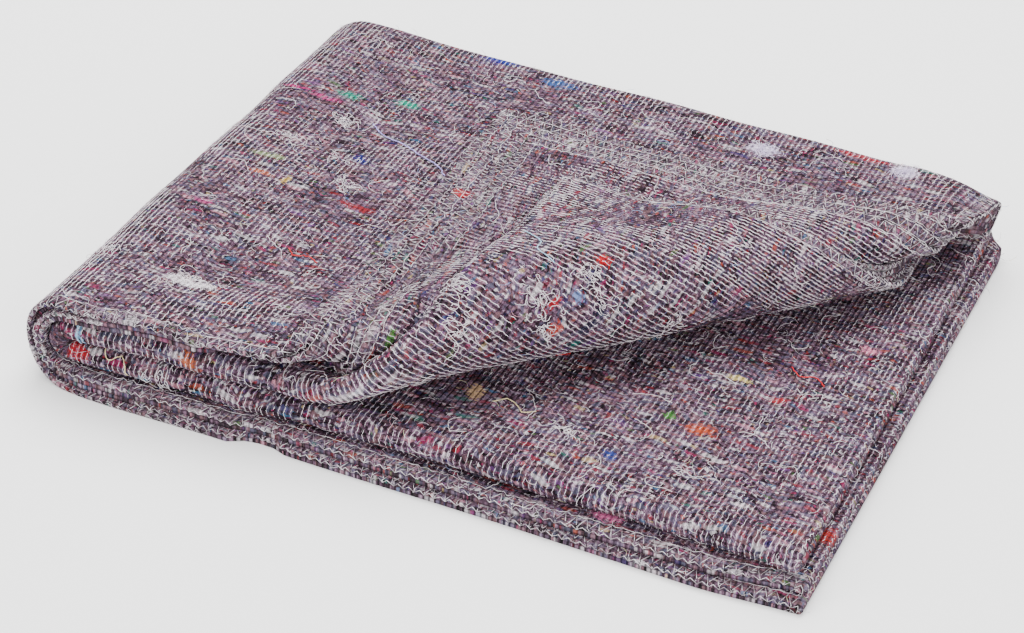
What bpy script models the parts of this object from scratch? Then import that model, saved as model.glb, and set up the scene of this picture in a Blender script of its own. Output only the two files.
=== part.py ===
"""Moving blanket of stitch-bonded felt, folded four times into a bundle, one corner turned back.

The sheet starts flat. Each fold cuts it along its bend lines and wraps what lies past the fold
line over the top of the stack, so every layer, bulge and open edge lies where folding puts it.
Metres, +Z up, origin at the middle of the bundle on the surface that it lies on.
"""

import math

import bmesh
import bpy
from mathutils import Vector

# The sheet as it was cut.
FLAT_WIDTH = 2.000      # across the stitch rows
FLAT_LENGTH = 1.500     # along the stitch rows
SHEET = 0.0027          # thickness of the felt
GAP = 0.0008            # between two layers that lie on each other
PITCH = SHEET + GAP

# The bundle: its sides as they end up, X to the right, Y to the back.
LEFT_TURN = -0.2160     # X of the line that the last half fold turns about
RIGHT_SIDE = 0.2452     # X of the closed right side of the bottom half
FRONT_SIDE = -0.1943    # Y of the open front edges
BACK_SIDE = 0.1943      # Y of the closed back
CORNER_OFFSET = 0.0970  # the corner is turned about the line x - y = this

ACROSS = Vector((1.0, 0.0, 0.0))
BACKWARD = Vector((0.0, 1.0, 0.0))
LEFTWARD = Vector((-1.0, 0.0, 0.0))
CORNERWARD = Vector((1.0, -1.0, 0.0)).normalized()
UP = Vector((0.0, 0.0, 1.0))

# One row for each fold: how far its loop stands open, the neutral radius that sets how much
# cloth the turn takes (None: each layer takes what its own radius needs), how many times wider
# than high the turn is, the flat steps round it, and the length over which the opened loop
# closes again, in how many steps.
FOLD_COLUMNS = ("open_gap", "neutral", "spread", "steps", "ease", "ease_steps")
FOLDS = {
    "side": (GAP, 0.0018, 1.0, 4, 0.0, 0),
    "front": (0.0030, 0.0053, 1.0, 6, 0.045, 2),
    "back": (0.0020, 0.0090, 1.0, 6, 0.040, 2),
    "left": (0.0050, 0.0290, 1.0, 8, 0.060, 3),
    "corner": (0.0060, None, 1.4, 8, 0.060, 3),
}

# The corner turns as three groups of layers: where each ends along the sheet's length, as a
# share of it, and its neutral radius. The middle group is joined by the front loop.
CORNER_GROUPS = ((0.25, None), (0.75, 0.0350), (1.0, None))

# How far the open front edges of the outer and the inner pair of layers, and the closed front
# bulge of the other four, stand forward (-) or back (+) of their nominal lines, along the
# bundle before the last half fold.
FRONT_COLUMNS = ("x", "outer_edges", "inner_edges", "bulge")
FRONT_SHIFTS = (
    (-0.770, 0.003, 0.014, -0.010),
    (-0.600, 0.008, 0.024, -0.016),
    (-0.450, 0.010, 0.022, -0.024),
    (-0.390, 0.002, 0.008, -0.028),
    (-0.310, -0.003, 0.000, -0.034),
    (-0.200, -0.009, -0.005, -0.034),
    (-0.105, -0.006, -0.002, -0.028),
    (-0.093, 0.001, 0.002, -0.026),
    (-0.078, 0.001, 0.002, -0.024),
    (-0.068, -0.002, 0.002, -0.022),
    (0.080, 0.000, 0.003, -0.018),
    (0.180, 0.000, 0.006, -0.014),
    (0.250, 0.005, 0.014, -0.016),
)
# How far each of the eight layers' open side edges lies in from the outermost one, and how far
# each layer's closed side fold does, from the outside of the bundle inwards.
SIDE_COLUMNS = ("layer", "open_edges", "closed_folds")
SIDE_SETBACKS = (
    (0, 0.000, 0.000),
    (1, 0.004, 0.000),
    (2, 0.008, 0.001),
    (3, 0.011, 0.001),
    (4, 0.024, 0.008),
    (5, 0.027, 0.008),
    (6, 0.027, 0.008),
    (7, 0.024, 0.008),
)
SIDE_REACH = 0.080   # how far in from the sides these setbacks fade out
FRONT_REACH = 0.110  # how far in from the front these shifts fade out

PRESS_FROM = 0.372   # the back right corner is pressed lower where x + y passes this
PRESS_RATE = 3.2     # share of the height lost per metre beyond it
TIP_SLANT = 2.4      # how far the upper layers are pushed right there, per metre beyond it and per height

FLAT_ANGLE = math.radians(0.05)  # faces that meet within this count as one flat face


def smooth(t):
    """0 to 1 with level ends."""
    t = min(max(t, 0.0), 1.0)
    return t * t * (3.0 - 2.0 * t)


def stack_height(layers):
    return layers * SHEET + (layers - 1) * GAP


def fold_values(name):
    return dict(zip(FOLD_COLUMNS, FOLDS[name]))


def between(rows, columns, x, name):
    """A column of a table of rows in order of their first value, eased between rows."""
    place = columns.index(name)
    if x <= rows[0][0]:
        return rows[0][place]
    for low, high in zip(rows, rows[1:]):
        if x <= high[0]:
            share = smooth((x - low[0]) / (high[0] - low[0]))
            return low[place] + share * (high[place] - low[place])
    return rows[-1][place]


def cut(mesh, point, normal, chosen=None):
    """Adds an edge line where a plane crosses the chosen faces."""
    faces = [f for f in mesh.faces if chosen is None or chosen(f)]
    parts = set(faces)
    for face in faces:
        parts.update(face.edges)
        parts.update(face.verts)
    bmesh.ops.bisect_plane(mesh, geom=list(parts), dist=1e-7, plane_co=point, plane_no=normal)


def wrap(mesh, line, outward, axis_height, fold, chosen=None):
    """Cuts the bend lines of one fold and wraps what lies past the line over the top.

    Gives the vertices that have come back over the line.
    """
    neutral = fold["neutral"]
    spread = fold["spread"]
    girth = (1.0 + spread) / 2
    bends = [(math.pi * step / fold["steps"], 0.0) for step in range(fold["steps"] + 1)]
    bends += [(math.pi, inward) for inward in ease_lines(fold)]
    for angle, beyond in bends:
        past_line = line + outward * beyond
        if neutral:
            cut(mesh, past_line + outward * angle * neutral, outward, chosen)
        else:
            cut(mesh, past_line + UP * axis_height, outward + UP * angle * girth, chosen)
    moved = set()
    for face in mesh.faces:
        if chosen is None or chosen(face):
            moved.update(face.verts)
    returned = set()
    for vert in moved:
        past = (vert.co - line).dot(outward)
        if past <= 0.0:
            continue
        radius = axis_height - vert.co.z
        taken = neutral or radius * girth
        angle = past / taken
        if angle < math.pi:
            reach = radius * spread * math.sin(angle)
            height = axis_height - radius * math.cos(angle)
        else:
            reach = math.pi * taken - past
            height = axis_height + radius
            returned.add(vert)
        vert.co += outward * (reach - past)
        vert.co.z = height
    return returned


def ease_lines(fold):
    """Distances from a fold's line at which its loop's closing is cut."""
    steps = fold["ease_steps"]
    return [fold["ease"] * (step + 1) / steps for step in range(steps)]


def ease_cuts(mesh, line, outward, fold, chosen=None):
    for inward in ease_lines(fold):
        cut(mesh, line - outward * inward, outward, chosen)


def fold_half(mesh, name, line, outward, height):
    """A fold of the whole stack, whose loop stands open and closes over its ease length."""
    fold = fold_values(name)
    opened = fold["open_gap"] - GAP
    axis_height = height + fold["open_gap"] / 2
    ease = fold["ease"]
    ease_cuts(mesh, line, outward, fold)
    returned = wrap(mesh, line, outward, axis_height, fold)
    for vert in mesh.verts:
        inward = (line - vert.co).dot(outward)
        closing = smooth(inward / ease) if ease > 0.0 else 1.0
        if vert in returned:
            vert.co.z -= opened * closing
        if name == "front":
            vert.co.z -= opened * (1.0 - closing)


def flat_sheet():
    """The sheet before folding: its width along X, its length along Y, its middle surface."""
    mesh = bmesh.new()
    side = fold_values("side")
    side_line = RIGHT_SIDE - SHEET - side["open_gap"] / 2
    left = side_line - (FLAT_WIDTH - math.pi * side["neutral"]) / 2
    corners = (
        (left, FRONT_SIDE),
        (left + FLAT_WIDTH, FRONT_SIDE),
        (left + FLAT_WIDTH, FRONT_SIDE + FLAT_LENGTH),
        (left, FRONT_SIDE + FLAT_LENGTH),
    )
    flat = mesh.verts.layers.float_vector.new("flat")
    verts = [mesh.verts.new((x, y, SHEET / 2)) for x, y in corners]
    for vert in verts:
        vert[flat] = vert.co - verts[0].co
    mesh.faces.new(verts)
    return mesh, Vector((side_line, 0.0, 0.0))


def front_line():
    """Y of the second fold's line on the sheet, so that both open front edges meet."""
    front = fold_values("front")
    return FRONT_SIDE + (FLAT_LENGTH - math.pi * front["neutral"]) / 2


def back_line():
    back = fold_values("back")
    return BACK_SIDE - stack_height(4) - back["open_gap"] / 2


def top_of_half(y):
    """Height of the eight layers' upper side over their flat part, with its front and back loops."""
    front = fold_values("front")
    back = fold_values("back")
    bulge = FRONT_SIDE + bulge_setback()
    rise_front = front["open_gap"] - GAP
    rise_back = back["open_gap"] - GAP
    level = stack_height(8)
    level += rise_front * (1.0 - smooth((y - bulge) / front["ease"]))
    level += rise_back * (1.0 - smooth((back_line() - y) / back["ease"]))
    return level


def bulge_setback():
    """How far the front loop's turn line lies behind the open front edges."""
    back = fold_values("back")
    past = front_line() - back_line() - math.pi * back["neutral"]
    return back_line() - past - FRONT_SIDE


def shift_front(mesh):
    """Slides the front of each group of layers to where it lies."""
    flat = mesh.verts.layers.float_vector["flat"]
    inner = FRONT_SIDE + FRONT_REACH

    def at_front(face):
        return all(v.co.y < inner + SHEET for v in face.verts)

    for share in (0.35, 0.7, 1.0):
        cut(mesh, Vector((0.0, FRONT_SIDE + FRONT_REACH * share, 0.0)), BACKWARD)
    for row in FRONT_SHIFTS:
        cut(mesh, Vector((row[0], 0.0, 0.0)), ACROSS, at_front)
    for vert in mesh.verts:
        along = vert[flat].y / FLAT_LENGTH
        group = "outer_edges" if along < 0.25 else "bulge" if along < 0.75 else "inner_edges"
        reach = 1.0 - smooth((vert.co.y - FRONT_SIDE) / FRONT_REACH)
        vert.co.y += reach * between(FRONT_SHIFTS, FRONT_COLUMNS, vert.co.x, group)


def shift_sides(mesh):
    """Slides the layers' side folds and open side edges to their setbacks."""
    open_side = min(v.co.x for v in mesh.verts)
    closed_side = max(v.co.x for v in mesh.verts)
    cut(mesh, Vector((open_side + SIDE_REACH, 0.0, 0.0)), ACROSS)
    cut(mesh, Vector((closed_side - SIDE_REACH, 0.0, 0.0)), ACROSS)
    for vert in mesh.verts:
        layer = (vert.co.z - SHEET / 2) / PITCH
        at_open = 1.0 - (vert.co.x - open_side) / SIDE_REACH
        at_closed = 1.0 - (closed_side - vert.co.x) / SIDE_REACH
        if at_open > 0.0:
            vert.co.x += at_open * between(SIDE_SETBACKS, SIDE_COLUMNS, layer, "open_edges")
        if at_closed > 0.0:
            vert.co.x -= at_closed * between(SIDE_SETBACKS, SIDE_COLUMNS, layer, "closed_folds")


def fold_left(mesh):
    """The last half fold: the left part of the stack goes over the right part."""
    fold = fold_values("left")
    line = Vector((LEFT_TURN, 0.0, 0.0))
    axis_height = stack_height(8) + fold["open_gap"] / 2
    ease_cuts(mesh, line, LEFTWARD, fold)
    returned = wrap(mesh, line, LEFTWARD, axis_height, fold)
    for vert in returned:
        closing = smooth((vert.co.x - LEFT_TURN) / fold["ease"])
        vert.co.z -= closing * (2 * (axis_height - top_of_half(vert.co.y)) - GAP)


def rise_of_top(y):
    """How much higher than at its middle the upper half lies, because of the loops in both halves."""
    return 2 * (top_of_half(y) - stack_height(8))


def turn_corner(mesh):
    """The upper half's front right corner turns back over the top.

    Its layers are levelled first, so that they can slide on each other in the turn. The layers
    joined by the front bulge take the same length round it, so that their loop isn't sheared.
    """
    fold = fold_values("corner")
    ease = fold["ease"]
    line = Vector((CORNER_OFFSET, 0.0, 0.0))
    most = rise_of_top(FRONT_SIDE)
    axis_height = 2 * stack_height(8) + GAP + most + fold["open_gap"] / 2
    flat = mesh.verts.layers.float_vector["flat"]

    def upper(face):
        return all(v.co.z > top_of_half(v.co.y) + GAP / 2 for v in face.verts)

    ease_cuts(mesh, line, CORNERWARD, fold, upper)
    raised = set()
    for face in mesh.faces:
        if upper(face):
            raised.update(face.verts)
    for vert in raised:
        near = smooth(1.0 + (vert.co - line).dot(CORNERWARD) / ease)
        vert.co.z += near * (most - rise_of_top(vert.co.y))
    cut_from = 0.0
    for ends_at, taken in CORNER_GROUPS:
        fold["neutral"] = taken

        def chosen(face, low=cut_from, high=ends_at):
            along = sum(v[flat].y for v in face.verts) / len(face.verts) / FLAT_LENGTH
            return low < along < high and upper(face)

        returned = wrap(mesh, line, CORNERWARD, axis_height, fold, chosen)
        for vert in returned:
            inward = (line - vert.co).dot(CORNERWARD)
            closing = fold["open_gap"] - GAP + most - rise_of_top(vert.co.y)
            vert.co.z -= closing * smooth(inward / ease)
        cut_from = ends_at


def press_back_corner(mesh):
    """The whole bundle is pressed lower towards its back right corner."""
    diagonal = Vector((1.0, 1.0, 0.0))
    cut(mesh, Vector((PRESS_FROM, 0.0, 0.0)), diagonal)
    for vert in mesh.verts:
        past = vert.co.dot(diagonal) - PRESS_FROM
        if past > 0.0:
            above = vert.co.z - SHEET / 2
            vert.co.x += TIP_SLANT * past * above
            vert.co.z -= PRESS_RATE * past * above


def centre(mesh):
    """Moves the bundle so that its middle is over the origin."""
    for axis in (0, 1):
        ends = [vert.co[axis] for vert in mesh.verts]
        middle = (min(ends) + max(ends)) / 2
        for vert in mesh.verts:
            vert.co[axis] -= middle


def folded_mesh():
    mesh, side_line = flat_sheet()
    fold_half(mesh, "side", side_line, ACROSS, stack_height(1))
    fold_half(mesh, "front", Vector((0.0, front_line(), 0.0)), BACKWARD, stack_height(2))
    fold_half(mesh, "back", Vector((0.0, back_line(), 0.0)), BACKWARD, stack_height(4))
    shift_front(mesh)
    shift_sides(mesh)
    fold_left(mesh)
    turn_corner(mesh)
    press_back_corner(mesh)
    centre(mesh)
    return mesh


def felt():
    material = bpy.data.materials.new("recycled felt")
    material.use_nodes = True
    shader = material.node_tree.nodes["Principled BSDF"]
    shader.inputs["Base Color"].default_value = (0.22, 0.19, 0.20, 1.0)
    shader.inputs["Roughness"].default_value = 0.95
    shader.inputs["Metallic"].default_value = 0.0
    return material


def build():
    for old in list(bpy.data.objects):
        bpy.data.objects.remove(old, do_unlink=True)
    mesh = folded_mesh()
    bmesh.ops.dissolve_limit(mesh, angle_limit=FLAT_ANGLE, verts=mesh.verts, edges=mesh.edges)
    bmesh.ops.triangulate(mesh, faces=mesh.faces[:])
    data = bpy.data.meshes.new("blanket")
    mesh.to_mesh(data)
    mesh.free()
    blanket = bpy.data.objects.new("blanket", data)
    bpy.context.scene.collection.objects.link(blanket)
    data.materials.append(felt())
    thicken = blanket.modifiers.new("sheet thickness", "SOLIDIFY")
    thicken.thickness = SHEET
    thicken.offset = 0.0


build()
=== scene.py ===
"""Moving blanket of stitch-bonded recycled felt, folded into a bundle, one corner turned back."""

import math

import bmesh
import bpy
import numpy as np
from mathutils import Matrix, Vector
from mathutils.bvhtree import BVHTree


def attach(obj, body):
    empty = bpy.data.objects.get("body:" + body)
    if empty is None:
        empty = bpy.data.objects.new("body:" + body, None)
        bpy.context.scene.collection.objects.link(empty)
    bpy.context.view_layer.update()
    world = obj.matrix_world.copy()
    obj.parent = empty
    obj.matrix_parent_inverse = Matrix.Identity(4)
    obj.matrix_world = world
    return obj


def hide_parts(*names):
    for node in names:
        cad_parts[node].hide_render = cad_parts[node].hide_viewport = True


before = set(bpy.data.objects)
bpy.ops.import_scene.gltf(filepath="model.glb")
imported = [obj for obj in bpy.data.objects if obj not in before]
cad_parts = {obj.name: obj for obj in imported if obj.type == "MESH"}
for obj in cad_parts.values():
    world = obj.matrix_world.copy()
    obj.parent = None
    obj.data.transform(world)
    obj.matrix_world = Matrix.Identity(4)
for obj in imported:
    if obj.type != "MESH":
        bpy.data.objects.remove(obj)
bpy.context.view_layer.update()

# The sheet and its folds, in metres: the solid's sizes, but for some rows of FRONT_SHIFTS.
FLAT_WIDTH = 2.000
FLAT_LENGTH = 1.500
SHEET = 0.0027
GAP = 0.0008
PITCH = SHEET + GAP
LEFT_TURN = -0.2160
RIGHT_SIDE = 0.2452
FRONT_SIDE = -0.1943
BACK_SIDE = 0.1943
CORNER_OFFSET = 0.0970
FOLD_COLUMNS = ("open_gap", "neutral", "spread", "ease")
FOLDS = {
    "side": (GAP, 0.0018, 1.0, 0.0),
    "front": (0.0030, 0.0053, 1.0, 0.045),
    "back": (0.0020, 0.0090, 1.0, 0.040),
    "left": (0.0050, 0.0290, 1.0, 0.060),
    "corner": (0.0060, None, 1.4, 0.060),
}
CORNER_GROUPS = ((0.25, None), (0.75, 0.0350), (1.0, None))
FRONT_COLUMNS = ("x", "outer_edges", "inner_edges", "bulge")
FRONT_SHIFTS = (
    (-0.770, 0.003, 0.011, -0.010),
    (-0.600, 0.008, 0.016, -0.016),
    (-0.505, 0.010, 0.020, -0.022),
    (-0.455, 0.010, 0.036, -0.024),
    (-0.415, 0.006, 0.022, -0.026),
    (-0.390, 0.002, 0.008, -0.028),
    (-0.310, -0.003, 0.000, -0.034),
    (-0.200, -0.009, -0.005, -0.034),
    (-0.105, -0.006, -0.002, -0.028),
    (-0.093, 0.001, 0.002, -0.026),
    (-0.078, 0.001, 0.002, -0.024),
    (-0.068, -0.002, 0.002, -0.022),
    (0.080, 0.000, 0.003, -0.018),
    (0.180, 0.000, 0.006, -0.014),
    (0.250, 0.005, 0.014, -0.016),
)
SIDE_COLUMNS = ("layer", "open_edges", "closed_folds")
SIDE_SETBACKS = (
    (0, 0.000, 0.000),
    (1, 0.004, 0.000),
    (2, 0.008, 0.001),
    (3, 0.011, 0.001),
    (4, 0.024, 0.008),
    (5, 0.027, 0.008),
    (6, 0.027, 0.008),
    (7, 0.024, 0.008),
)
SIDE_REACH = 0.080
FRONT_REACH = 0.110
PRESS_FROM = 0.372      # x + y past which the back right corner is pressed down
PRESS_EASE = 0.006
PRESS_RATE = 3.2

# Shapes that only this script has, in metres. The outer front edges, at the left turn:
EDGE_DRAW = 0.0065      # how far they stand back
EDGE_DRAW_AT = 0.046    # where they do most, to the left of the turn's line
EDGE_DRAW_WIDTH = 0.034
LOOP_SHARE = 0.3        # share of that by which the folded edges stand forward
EDGE_STEP = 0.0036      # how far the inner of the two outer edges stands behind the other
EDGE_STEP_FROM = -0.10
EDGE_STEP_EASE = 0.08
# The upper layers at the back right tip:
TIP_BACK = 0.148        # behind this their open edges come level with each other
TIP_EASE = 0.026
TIP_LEVELLED = 0.92     # share of their setbacks that goes
TIP_SLANT = 2.4
TIP_LEVEL = 0.045       # height that their slant is worked out for
TIP_DROP = 0.0036       # how far the tip droops
TIP_AT = (0.206, 0.130)
TIP_WIDTHS = (0.024, 0.030)
# The front loop, beside the turned-back corner:
LOOP_SINK = 0.0040      # how far it sinks
LOOP_DRAW = 0.0060      # how far back it is drawn
LOOP_AT = 0.088         # where, to the left of the middle
LOOP_WIDTH = 0.020
LOOP_FRONT = -0.130     # in front of this y
LOOP_EASE = 0.045
LOOP_OUTER = (0.6, 0.2)  # the share of the height above which it is drawn, and the ease of that

ACROSS = np.array((1.0, 0.0, 0.0))
BACKWARD = np.array((0.0, 1.0, 0.0))
LEFTWARD = -ACROSS
CORNERWARD = (ACROSS - BACKWARD) / math.sqrt(2.0)

# The stitching.
ROW_PITCH = 0.003571    # seven rows of stitches to 25 mm
STITCH = 0.0048
THREAD = 0.00016        # radius of the stitching thread
ROW_SWING = 0.00055     # how far a row's thread swings to each side
OVERLOCK_REACH = 0.0078  # how far in from the edge the overlock's needles sew
OVERLOCK_PITCH = 0.0066
OVERLOCK_THREAD = 0.00017


def smooth(t):
    t = np.clip(t, 0.0, 1.0)
    return t * t * (3.0 - 2.0 * t)


def stack_height(layers):
    return layers * SHEET + (layers - 1) * GAP


def fold_values(name):
    return dict(zip(FOLD_COLUMNS, FOLDS[name]))


def between(rows, columns, x, name):
    """A column of a table of rows in order of their first value, eased between rows."""
    place = columns.index(name)
    value = np.full(x.shape, float(rows[0][place]))
    for low, high in zip(rows, rows[1:]):
        share = smooth((x - low[0]) / (high[0] - low[0]))
        value = np.where(x > low[0], low[place] + share * (high[place] - low[place]), value)
    return value


def wrap(points, line, outward, axis_height, fold, chosen):
    """Wraps the chosen points that lie past a fold's line over the top of the stack.

    Gives a mask of the points that have come back over the line.
    """
    spread = fold["spread"]
    girth = (1.0 + spread) / 2
    past = (points - line) @ outward
    moving = chosen & (past > 0.0)
    radius = axis_height - points[:, 2]
    taken = fold["neutral"] or np.maximum(radius * girth, 1e-6)
    angle = past / taken
    turning = moving & (angle < math.pi)
    returned = moving & (angle >= math.pi)
    reach = np.where(turning, radius * spread * np.sin(angle), math.pi * taken - past)
    height = np.where(turning, axis_height - radius * np.cos(angle), axis_height + radius)
    points[moving] += outward * (reach - past)[moving, None]
    points[moving, 2] = height[moving]
    return returned


def fold_half(points, name, line, outward, height):
    fold = fold_values(name)
    opened = fold["open_gap"] - GAP
    axis_height = height + fold["open_gap"] / 2
    everything = np.ones(len(points), bool)
    returned = wrap(points, line, outward, axis_height, fold, everything)
    inward = (line - points) @ outward
    closing = smooth(inward / fold["ease"]) if fold["ease"] > 0.0 else 1.0
    points[:, 2] -= returned * opened * closing
    if name == "front":
        points[:, 2] -= opened * (1.0 - closing)


def turn_length(name):
    """How much of the sheet a fold's turn takes."""
    return math.pi * fold_values(name)["neutral"]


def side_line():
    return RIGHT_SIDE - SHEET - fold_values("side")["open_gap"] / 2


def sheet_start():
    """Where the flat sheet's left edge lies before the first fold."""
    return side_line() - (FLAT_WIDTH - turn_length("side")) / 2


def front_line():
    return FRONT_SIDE + (FLAT_LENGTH - turn_length("front")) / 2


def back_line():
    return BACK_SIDE - stack_height(4) - fold_values("back")["open_gap"] / 2


def top_of_half(y):
    """Height of the eight layers' upper side over their flat part, with its loops."""
    front = fold_values("front")
    back = fold_values("back")
    past = front_line() - back_line() - turn_length("back")
    bulge = back_line() - past
    rise_front = front["open_gap"] - GAP
    rise_back = back["open_gap"] - GAP
    level = stack_height(8) + rise_front * (1.0 - smooth((y - bulge) / front["ease"]))
    return level + rise_back * (1.0 - smooth((back_line() - y) / back["ease"]))


def shift_front(points, along):
    reach = 1.0 - smooth((points[:, 1] - FRONT_SIDE) / FRONT_REACH)
    groups = (
        ("outer_edges", along < 0.25),
        ("bulge", (along >= 0.25) & (along < 0.75)),
        ("inner_edges", along >= 0.75),
    )
    for name, chosen in groups:
        shift = between(FRONT_SHIFTS, FRONT_COLUMNS, points[chosen, 0], name)
        points[chosen, 1] += reach[chosen] * shift


def draw_back_edges(points, along, inner):
    """Where the sheet turns at the left, its outer front edges stand behind the folded ones.

    Of the two outer edges, the one inside the other stands a step behind it.
    """
    turn = np.exp(-(((points[:, 0] - LEFT_TURN + EDGE_DRAW_AT) / EDGE_DRAW_WIDTH) ** 2))
    reach = 1.0 - smooth((points[:, 1] - FRONT_SIDE) / FRONT_REACH)
    points[:, 1] += EDGE_DRAW * turn * reach * (along < 0.25)
    points[:, 1] -= LOOP_SHARE * EDGE_DRAW * turn * reach * ((along > 0.3) & (along < 0.7))
    left = smooth((EDGE_STEP_FROM - points[:, 0]) / EDGE_STEP_EASE)
    points[:, 1] += EDGE_STEP * inner * left * reach * (along < 0.25)


def shift_sides(points):
    open_side = sheet_start()
    closed_side = side_line() + (SHEET + GAP) / 2
    layer = (points[:, 2] - SHEET / 2) / PITCH
    at_open = np.clip(1.0 - (points[:, 0] - open_side) / SIDE_REACH, 0.0, 1.0)
    at_closed = np.clip(1.0 - (closed_side - points[:, 0]) / SIDE_REACH, 0.0, 1.0)
    level = 1.0 - TIP_LEVELLED * smooth((points[:, 1] - TIP_BACK) / TIP_EASE)
    points[:, 0] += at_open * level * between(SIDE_SETBACKS, SIDE_COLUMNS, layer, "open_edges")
    points[:, 0] -= at_closed * between(SIDE_SETBACKS, SIDE_COLUMNS, layer, "closed_folds")


def fold_left(points):
    fold = fold_values("left")
    line = ACROSS * LEFT_TURN
    axis_height = stack_height(8) + fold["open_gap"] / 2
    returned = wrap(points, line, LEFTWARD, axis_height, fold, np.ones(len(points), bool))
    closing = smooth((points[:, 0] - LEFT_TURN) / fold["ease"])
    points[:, 2] -= returned * closing * (2 * (axis_height - top_of_half(points[:, 1])) - GAP)
    return returned


def rise_of_top(y):
    return 2 * (top_of_half(y) - stack_height(8))


def turn_corner(points, along, upper):
    fold = fold_values("corner")
    ease = fold["ease"]
    line = ACROSS * CORNER_OFFSET
    most = rise_of_top(np.array(FRONT_SIDE))
    axis_height = 2 * stack_height(8) + GAP + most + fold["open_gap"] / 2
    near = smooth(1.0 + ((points - line) @ CORNERWARD) / ease)
    points[:, 2] += upper * near * (most - rise_of_top(points[:, 1]))
    cut_from = -1.0
    for ends_at, taken in CORNER_GROUPS:
        fold["neutral"] = taken
        chosen = upper & (along >= cut_from) & (along < ends_at + (ends_at == 1.0))
        returned = wrap(points, line, CORNERWARD, axis_height, fold, chosen)
        inward = (line - points) @ CORNERWARD
        closing = fold["open_gap"] - GAP + most - rise_of_top(points[:, 1])
        points[:, 2] -= returned * closing * smooth(inward / ease)
        cut_from = ends_at


def droop_tip(points, upper):
    """The tip of the upper layers hangs a little over the lower ones."""
    across = smooth((points[:, 0] - TIP_AT[0]) / TIP_WIDTHS[0])
    at_tip = across * smooth((points[:, 1] - TIP_AT[1]) / TIP_WIDTHS[1])
    points[:, 2] -= TIP_DROP * at_tip * upper
    points[:, 0] += 0.5 * TIP_DROP * at_tip * upper


def sink_loop(points, along, upper):
    """Beside the turned-back corner the front loop sinks and draws back under the edges over it."""
    top = stack_height(12)
    loop = (points[:, 2] < top) | (upper & (along > 0.25) & (along < 0.75))
    at = np.exp(-(((points[:, 0] + LOOP_AT) / LOOP_WIDTH) ** 2))
    at = at * smooth((LOOP_FRONT - points[:, 1]) / LOOP_EASE)
    share = loop * np.clip(points[:, 2] / top, 0.0, 1.0)
    points[:, 2] -= LOOP_SINK * at * share
    points[:, 1] += LOOP_DRAW * at * smooth((share - LOOP_OUTER[0]) / LOOP_OUTER[1])


def press_back_corner(points, upper):
    past = points[:, 0] + points[:, 1] - PRESS_FROM
    past = (np.sqrt(past * past + PRESS_EASE ** 2) + past) / 2
    above = points[:, 2] - SHEET / 2
    points[:, 0] += TIP_SLANT * past * TIP_LEVEL * upper
    points[:, 2] -= PRESS_RATE * past * above


# Soft hollows and ridges of the settled bundle, in metres. The columns are x1, y1, x2 and y2 of
# its ends on the plan, its width, and how far it lifts (+) or sinks (-) the top.
CREASES = (
    (-0.215, 0.060, -0.090, 0.170, 0.050, -0.0012),
    (-0.190, -0.060, -0.020, 0.120, 0.045, 0.0016),
    (-0.230, -0.150, -0.120, -0.100, 0.040, -0.0014),
    (-0.160, -0.175, -0.060, -0.130, 0.030, 0.0018),
    (-0.060, 0.160, 0.160, 0.185, 0.035, -0.0014),
    (0.060, 0.120, 0.200, 0.150, 0.030, 0.0012),
    (-0.020, -0.120, 0.120, -0.160, 0.040, 0.0014),
    (0.100, -0.080, 0.215, -0.140, 0.050, -0.0016),
    (0.170, 0.000, 0.230, 0.080, 0.035, 0.0014),
    (-0.120, 0.020, -0.040, 0.060, 0.030, -0.0010),
    (-0.048, -0.165, -0.038, -0.060, 0.017, -0.0060),
)

# Slow waves of the settled layers. The columns are the way each runs (0 is x, 1 is y), its
# height, its turn for each metre, and how much, how fast and from where the other way bends it.
WAVES = (
    (0, 0.0007, 61.0, 1.3, 37.0, 0.0),
    (1, 0.0006, 74.0, 1.7, 29.0, 1.0),
)


def settle(points):
    """Lays the soft hollows and ridges into the bundle, deeper at the top than at the bottom."""
    share = np.clip(points[:, 2] / (2 * stack_height(8)), 0.0, 1.1)
    total = np.zeros(len(points))
    for x1, y1, x2, y2, width, lift in CREASES:
        start = np.array((x1, y1))
        run = np.array((x2, y2)) - start
        length = math.hypot(*run)
        from_start = points[:, :2] - start
        t = np.clip(from_start @ run / length ** 2, 0.0, 1.0)
        away = np.hypot(*(from_start - t[:, None] * run).T)
        total += lift * np.exp(-((away / width) ** 2) * 2.0)
    wave = np.zeros(len(points))
    for way, height, turn, bend, other_turn, start in WAVES:
        bent = bend * np.sin(points[:, 1 - way] * other_turn + start)
        wave += height * np.sin(points[:, way] * turn + bent)
    points[:, 2] += share * (total + wave)


def folded(u, v):
    """Where the points of the flat sheet's middle surface lie in the folded bundle."""
    points = np.empty((len(u), 3))
    line = ACROSS * side_line()
    points[:, 0] = sheet_start() + u
    points[:, 1] = FRONT_SIDE + v
    points[:, 2] = SHEET / 2
    along = v / FLAT_LENGTH
    fold_half(points, "side", line, ACROSS, stack_height(1))
    fold_half(points, "front", BACKWARD * front_line(), BACKWARD, stack_height(2))
    fold_half(points, "back", BACKWARD * back_line(), BACKWARD, stack_height(4))
    shift_front(points, along)
    draw_back_edges(points, along, u > FLAT_WIDTH / 2)
    shift_sides(points)
    upper = fold_left(points)
    turn_corner(points, along, upper)
    sink_loop(points, along, upper)
    droop_tip(points, upper)
    press_back_corner(points, upper)
    settle(points)
    return points + CENTRE


CENTRE = np.zeros(3)


def find_centre():
    """How far the bundle moves to have its middle over the origin."""
    steps = 400
    u, v = np.meshgrid(np.linspace(0, FLAT_WIDTH, steps), np.linspace(0, FLAT_LENGTH, steps))
    points = folded(u.ravel(), v.ravel())
    middle = (points.min(0) + points.max(0)) / 2
    return np.array((-middle[0], -middle[1], 0.0))


CENTRE = find_centre()


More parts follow.
